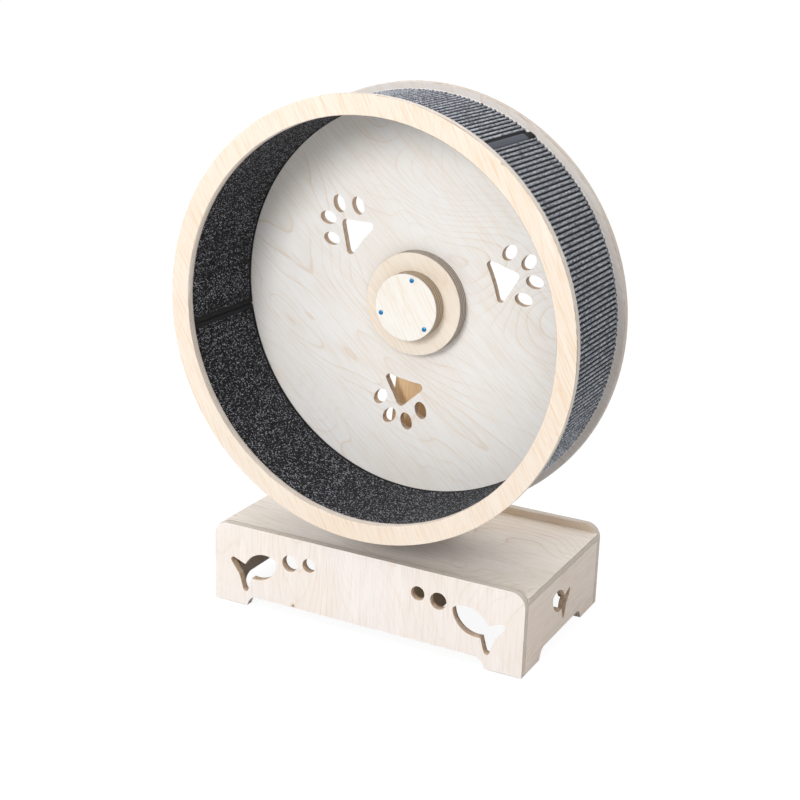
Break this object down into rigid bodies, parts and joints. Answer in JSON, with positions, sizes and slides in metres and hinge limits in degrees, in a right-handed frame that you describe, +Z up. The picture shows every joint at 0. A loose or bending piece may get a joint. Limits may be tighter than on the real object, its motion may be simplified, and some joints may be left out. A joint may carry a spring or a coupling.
{
  "type": "cat exercise wheel",
  "caption": "Plywood running wheel for a cat, carpet lined and open at the front, turning on a hub and a rear post above a box-shaped base with fish and paw cut-outs.",
  "frame": {"origin": "on the floor under the middle of the whole object's bounding box", "axes": "+X along the base to the right as seen from the open front, +Y from the open front to the back, along the axle, +Z up"},
  "size_m": [0.804, 0.395, 1.006],
  "materials": {
    "birch_plywood": "satin clear-coated birch plywood",
    "beech_dowel": "bare beech",
    "grey_mat": "short-pile charcoal carpet",
    "ribbed_carpet": "ribbed dark grey carpet",
    "blue_screws": "blue passivated",
    "steel": "zinc plated",
    "housing_metal": "turned",
    "rubber_pads": "matte"
  },
  "bodies": {
    "stand": {"front_bearing_inner_race": "steel", "rear_bearing_inner_race": "steel", "axle": "steel", "bearing_spacer": "steel", "axle_washer": "steel", "axle_nut": "steel", "axle_bolts": "steel", "axle_bolt_washers": "steel", "post_front_layer": "birch_plywood", "post_rear_layer": "birch_plywood", "left_brace": "birch_plywood", "right_brace": "birch_plywood", "post_screws": "steel", "brace_screws": "steel", "front_clamp_block": "birch_plywood", "rear_clamp_block": "birch_plywood", "clamp_bolts": "steel", "clamp_nuts": "steel", "front_panel": "birch_plywood", "back_panel": "birch_plywood", "left_side_panel": "birch_plywood", "right_side_panel": "birch_plywood", "left_rib": "birch_plywood", "right_rib": "birch_plywood", "top_board": "birch_plywood", "corner_blocks": "beech_dowel", "corner_block_screws": "steel", "panel_dowels": "beech_dowel", "top_board_dowels": "beech_dowel", "foot_pads": "rubber_pads"},
    "wheel": {"front_ring": "birch_plywood", "back_disc": "birch_plywood", "upper_drum_shell": "birch_plywood", "lower_drum_shell": "birch_plywood", "upper_inner_mat": "grey_mat", "lower_inner_mat": "grey_mat", "outer_carpet": "ribbed_carpet", "carpet_seam_strip": "ribbed_carpet", "hub_plate": "birch_plywood", "hub_cap": "birch_plywood", "hub_cap_screws": "blue_screws", "hub_plate_screws": "steel", "bearing_housing": "housing_metal", "housing_bolts": "steel", "housing_nuts": "steel", "front_bearing_outer_race": "steel", "rear_bearing_outer_race": "steel"},
    "ball_sets": {"front_bearing_balls": "steel", "front_bearing_cage": "steel", "rear_bearing_balls": "steel", "rear_bearing_cage": "steel"}
  },
  "joints": [
    {"name": "wheel_spin", "type": "hinge", "parent": "stand", "child": "wheel", "pos_m": [0, 0, 0.604], "axis": [0, 1, 0], "continuous": true},
    {"name": "ball_sets_spin", "type": "hinge", "parent": "stand", "child": "ball_sets", "pos_m": [0, 0, 0.604], "axis": [0, 1, 0], "continuous": true}
  ],
  "couplings": [
    {"joint": "ball_sets_spin", "follows": "wheel_spin", "ratio": 0.6164}
  ]
}
